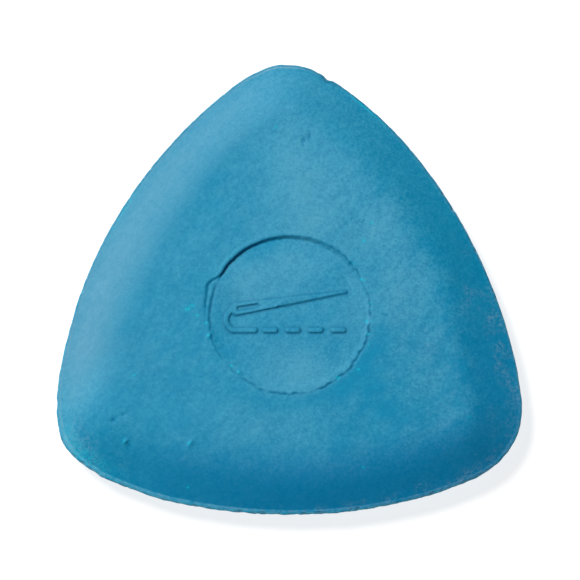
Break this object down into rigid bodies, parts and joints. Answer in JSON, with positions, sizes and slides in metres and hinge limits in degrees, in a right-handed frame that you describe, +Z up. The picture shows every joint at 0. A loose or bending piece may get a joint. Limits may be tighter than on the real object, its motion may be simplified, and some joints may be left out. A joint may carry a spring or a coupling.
{
  "type": "tailor's chalk",
  "caption": "Triangular tailor's chalk: a pressed tablet with bowed sides, bevelled thin rim, round panel and raised needle-and-thread mark.",
  "frame": {"origin": "centre of the lower plateau, in the plane that the tablet rests on", "axes": "+Z up through the face with the raised mark; +Y from the centre to one of the three corners; +X to the right, along the side opposite that corner"},
  "size_m": [0.05, 0.0489, 0.0057],
  "materials": {
    "chalk": "matte"
  },
  "bodies": {
    "root": {"chalk_tablet": "chalk"}
  },
  "joints": []
}
